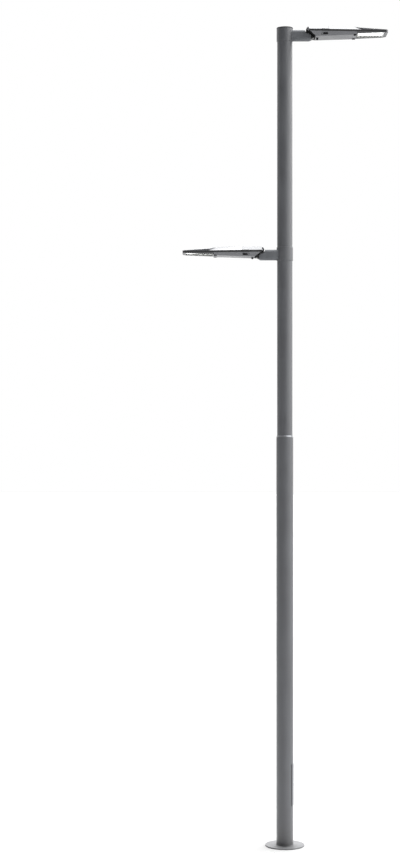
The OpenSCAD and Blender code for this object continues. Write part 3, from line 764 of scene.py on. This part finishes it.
    # Rubber gasket under each edge of the lid, seen when the lid is open.
    for side, word in SIDES:
        strip = []
        for x in GASKET_X:
            y = side * (rim_half(x) - 5)
            z = rim_low(x) + RIM_H + 1.0
            strip.append([Vector((x, y + across, z + up)) for across, up in gasket_cut])
        piece(f"{head}_{word}_lid_gasket", lid, RUBBER, skin(strip), place)

    # Terminal ends of the driver.
    terminal = skin([rounded(w, h, 2, z, 3) for w, h, z in terminal_loops])
    ends = (DRIVER_X[0] - TERMINAL_OUT, DRIVER_X[1] + TERMINAL_OUT)
    terminals = [(Matrix.Translation((x, 0, 0)), terminal) for x in ends]
    piece(head + "_driver_terminals", lamp, NYLON, gather(terminals), place @ ON_UNDERSIDE)

# ---------- camera, floor and lights ----------

scene = bpy.context.scene
scene.view_settings.view_transform = "Standard"

# The camera stands 17 m in front, level with half the pole's height: it sees the heads from below.
camera = bpy.data.objects.new("camera", bpy.data.cameras.new("camera"))
camera.location = (-0.83, -17.13, 4.10)
camera.rotation_euler = (math.radians(90), 0, 0)
camera.data.sensor_fit = "VERTICAL"
camera.data.sensor_height = 36
camera.data.lens = 73.86
camera.data.clip_end = 300
scene.collection.objects.link(camera)
scene.camera = camera

# The floor bounces most light near the foot and less further off. It is seen a little darker than
# it bounces, so its glare doesn't eat into thin edges.
FLOOR_REACH = 90
FLOOR_NEAR = 1.0
FLOOR_FAR = 10.0
floor_paint = grained("matt_floor_paint", "#C2C2C2", 1.0, 40, 0.1, "#BEBEBE", 0.0)
floor_tree = floor_paint.node_tree
floor_colour = floor_tree.nodes["Principled BSDF"].inputs["Base Color"]
floor_spot = add(floor_tree, "ShaderNodeTexCoord").outputs["Object"]
floor_distance = add(floor_tree, "ShaderNodeVectorMath", {"operation": "LENGTH"}, _0=floor_spot)
floor_fade = add(
    floor_tree, "ShaderNodeMapRange", {"interpolation_type": "SMOOTHSTEP"},
    Value=floor_distance.outputs["Value"], From_Min=FLOOR_NEAR, From_Max=FLOOR_FAR,
)
floor_bounce = add(
    floor_tree, "ShaderNodeMix", {"data_type": "RGBA"},
    _0=floor_fade.outputs[0], _6=srgb("#E8E8E8"), _7=floor_colour.links[0].from_socket,
)
floor_toned = add(
    floor_tree, "ShaderNodeMix", {"data_type": "RGBA"},
    _0=add(floor_tree, "ShaderNodeLightPath").outputs["Is Camera Ray"],
    _6=floor_bounce.outputs[2], _7=srgb("#AAAAAA"),
)
floor_tree.links.new(floor_toned.outputs[2], floor_colour)
floor_mesh = bpy.data.meshes.new("floor")
floor_corners = [(x * FLOOR_REACH, y * FLOOR_REACH, 0) for x, y in ((-1, -1), (1, -1), (1, 1), (-1, 1))]
floor_mesh.from_pydata(floor_corners, [], [(0, 1, 2, 3)])
floor_mesh.materials.append(floor_paint)
floor = bpy.data.objects.new("floor", floor_mesh)
floor.location = (0, 0, -0.0005)
scene.collection.objects.link(floor)

# Studio: pale all round, darker in front and to the left, and bright high behind the pole.
world = bpy.data.worlds.new("studio")
scene.world = world
world.use_nodes = True
sky = world.node_tree
backdrop = sky.nodes["Background"]
ray = add(sky, "ShaderNodeLightPath")
heading = add(sky, "ShaderNodeSeparateXYZ", Vector=add(sky, "ShaderNodeTexCoord").outputs["Generated"])


def glow(part, low, high, dim, bright):
    """Light that grows smoothly with one part of the direction."""
    settings = {"interpolation_type": "SMOOTHSTEP"}
    sizes = {"From_Min": low, "From_Max": high, "To_Min": dim, "To_Max": bright}
    return add(sky, "ShaderNodeMapRange", settings, Value=heading.outputs[part], **sizes).outputs[0]


def combine(kind, a, b):
    """Adds or multiplies two lights."""
    return add(sky, "ShaderNodeMath", {"operation": kind}, _0=a, _1=b).outputs[0]


from_the_right = glow(0, -1.0, 1.0, 0.35, 1.65)
from_behind = glow(1, -1.0, 1.0, 0.25, 1.0)
from_high_up = combine("MULTIPLY", glow(2, 0.06, 0.5, 0.0, 4.5), glow(1, -0.4, 0.5, 0.2, 1.0))
room = combine("MULTIPLY", from_the_right, combine("ADD", from_behind, from_high_up))
level = add(
    sky, "ShaderNodeMix", {"data_type": "FLOAT"},
    _0=ray.outputs["Is Camera Ray"], _2=room, _3=1.0,
)
backdrop.inputs["Color"].default_value = (1, 1, 1, 1)
sky.links.new(level.outputs[0], backdrop.inputs["Strength"])

# The suns light the pole alone: on the floor they would only add glare and a hard shadow.
parts = bpy.data.collections.new("lit_by_the_suns")
for thing in list(scene.objects):
    if thing.type == "MESH" and thing is not floor:
        parts.objects.link(thing)


def sun(name, strength, spread, way):
    """Broad soft light on the pole alone, that shines along a way."""
    light = bpy.data.lights.new(name, "SUN")
    light.energy = strength
    light.angle = math.radians(spread)
    made = bpy.data.objects.new(name, light)
    made.rotation_euler = Vector(way).to_track_quat("-Z", "Y").to_euler()
    made.light_linking.receiver_collection = parts
    scene.collection.objects.link(made)


sun("key_from_right", 2.3, 60, (-0.97, 0.26, -0.10))
sun("fill_from_front", 0.5, 35, (-0.59, 0.81, -0.05))
sun("light_from_above", 7.0, 8, (0, -0.08, -1))
